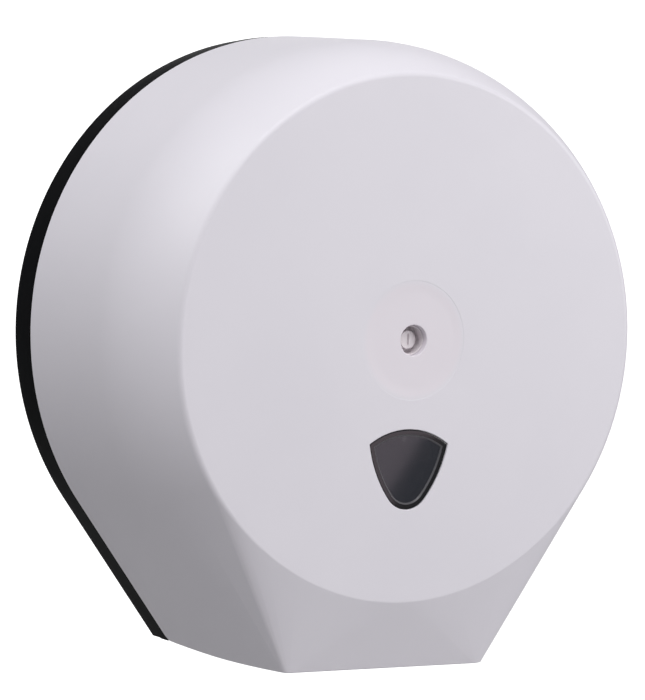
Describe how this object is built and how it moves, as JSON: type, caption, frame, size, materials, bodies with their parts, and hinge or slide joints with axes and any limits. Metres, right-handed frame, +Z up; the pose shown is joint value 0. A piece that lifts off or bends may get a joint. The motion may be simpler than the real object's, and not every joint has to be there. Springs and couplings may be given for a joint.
{
  "type": "jumbo toilet roll dispenser",
  "caption": "Wall-mounted round dispenser for jumbo toilet rolls: white drum cover with shield window and central lock, hinged over a black base with a turning hub.",
  "frame": {"origin": "on the roll axis, in the plane of the wall", "axes": "+X to the right seen from the front, +Y into the wall, +Z up; the front face looks along -Y"},
  "size_m": [0.3182, 0.145, 0.3321],
  "materials": {
    "white_cover": "satin",
    "black_base": "semi-gloss",
    "smoke_lens": "gloss",
    "grey_plastic": "satin",
    "hub_plastic": "satin",
    "lock_white": "semi-gloss",
    "bright_steel": "zinc plated"
  },
  "bodies": {
    "base": {"back_plate": "black_base", "spindle": "grey_plastic", "spindle_screws": "bright_steel", "hub_washer": "bright_steel", "strike_plate": "bright_steel", "strike_screws": "bright_steel", "tear_bar_left": "grey_plastic", "tear_bar_right": "grey_plastic", "tear_bar_screws": "bright_steel", "hinge_pin_left": "bright_steel", "hinge_pin_right": "bright_steel"},
    "hub": {"core_hub": "hub_plastic"},
    "cover": {"front_cover": "white_cover", "window_lens": "smoke_lens", "window_clips": "bright_steel", "lock_barrel": "lock_white", "lock_screws": "bright_steel"},
    "lock": {"lock_plug": "lock_white", "plug_clip": "bright_steel", "lock_cam": "bright_steel", "cam_screw": "bright_steel"}
  },
  "joints": [
    {"name": "hub_spin", "type": "hinge", "parent": "base", "child": "hub", "pos_m": [0, -0.06, 0], "axis": [0, 1, 0], "continuous": true},
    {"name": "cover_hinge", "type": "hinge", "parent": "base", "child": "cover", "pos_m": [0, -0.024, -0.169], "axis": [1, 0, 0], "range_deg": [0, 95]},
    {"name": "lock_turn", "type": "hinge", "parent": "cover", "child": "lock", "pos_m": [0, -0.13, 0], "axis": [0, 1, 0], "range_deg": [0, 90]}
  ]
}
